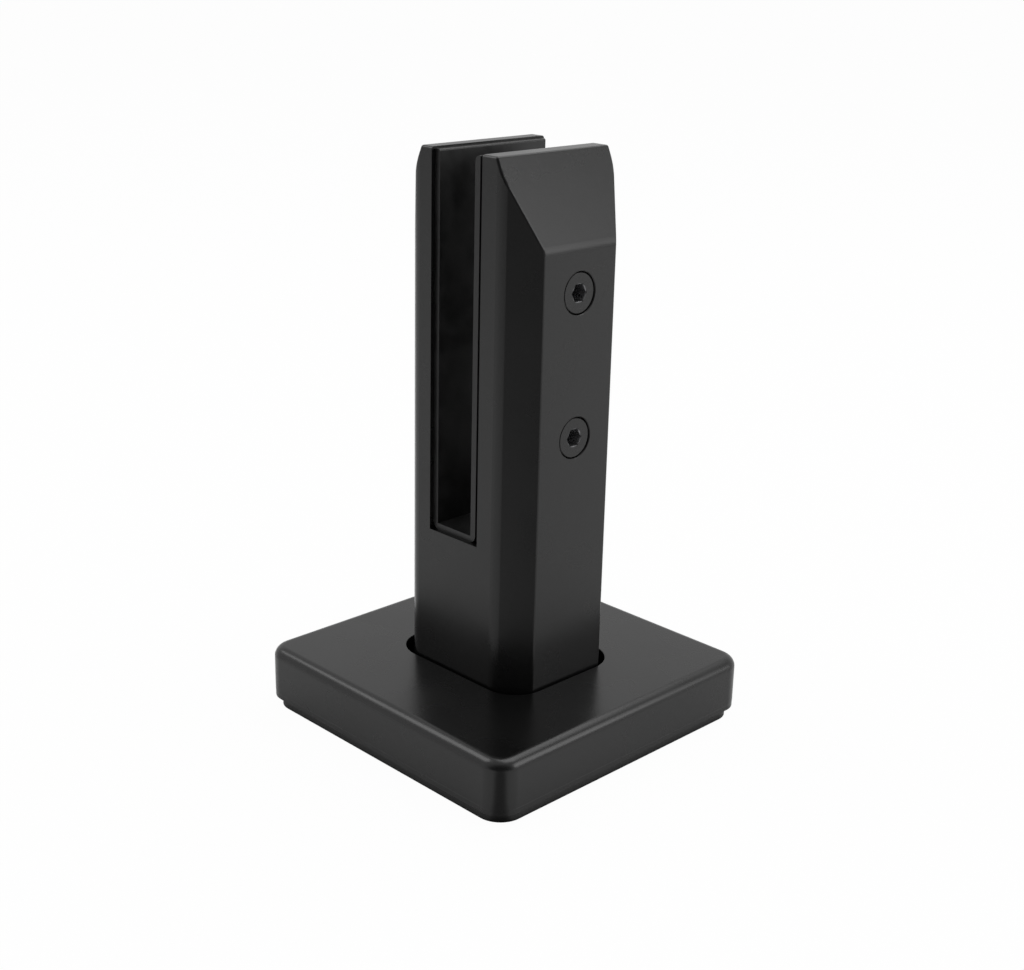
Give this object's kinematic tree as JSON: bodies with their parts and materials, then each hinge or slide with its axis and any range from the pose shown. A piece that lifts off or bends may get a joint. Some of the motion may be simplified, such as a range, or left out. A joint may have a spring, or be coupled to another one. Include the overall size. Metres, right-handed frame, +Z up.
{
  "type": "glass railing mini post",
  "caption": "Black coated clamp post with a bevelled jaw slot for a glass pane, a U-shaped rubber liner, front clamp screws and a loose square base cover over a bolted flange.",
  "frame": {"origin": "middle of the flange's underside, on the floor", "axes": "+Z up along the post, X along the glass, Y across it with the clamp screws in the face towards -Y"},
  "size_m": [0.1006, 0.1006, 0.1663],
  "materials": {
    "coated_post": "satin black coating",
    "coated_cover": "satin black coating",
    "coated_screw": "satin black coating",
    "liner_rubber": "matte",
    "plate_steel": "brushed"
  },
  "bodies": {
    "post": {"post_body": "coated_post", "slot_liner": "liner_rubber"},
    "cover": {"base_cover": "coated_cover"},
    "clamp": {"pressure_plate": "plate_steel"},
    "upper_screw": {"upper_clamp_screw": "coated_screw"},
    "lower_screw": {"lower_clamp_screw": "coated_screw"}
  },
  "joints": [
    {"name": "cover_slide", "type": "slide", "parent": "post", "child": "cover", "axis": [0, 0, 1], "range_m": [0, 0.0425]},
    {"name": "pressure_plate_slide", "type": "slide", "parent": "post", "child": "clamp", "axis": [0, 1, 0], "range_m": [0, 0.00175]},
    {"name": "upper_screw_turn", "type": "hinge", "parent": "clamp", "child": "upper_screw", "pos_m": [0, -0.0186, 0.1304], "axis": [0, 1, 0], "range_deg": [0, 360]},
    {"name": "lower_screw_turn", "type": "hinge", "parent": "clamp", "child": "lower_screw", "pos_m": [0, -0.0186, 0.0905], "axis": [0, 1, 0], "range_deg": [0, 360]}
  ],
  "couplings": [
    {"joint": "upper_screw_turn", "follows": "pressure_plate_slide", "rad_per_m": 3590.3},
    {"joint": "lower_screw_turn", "follows": "pressure_plate_slide", "rad_per_m": 3590.3}
  ]
}
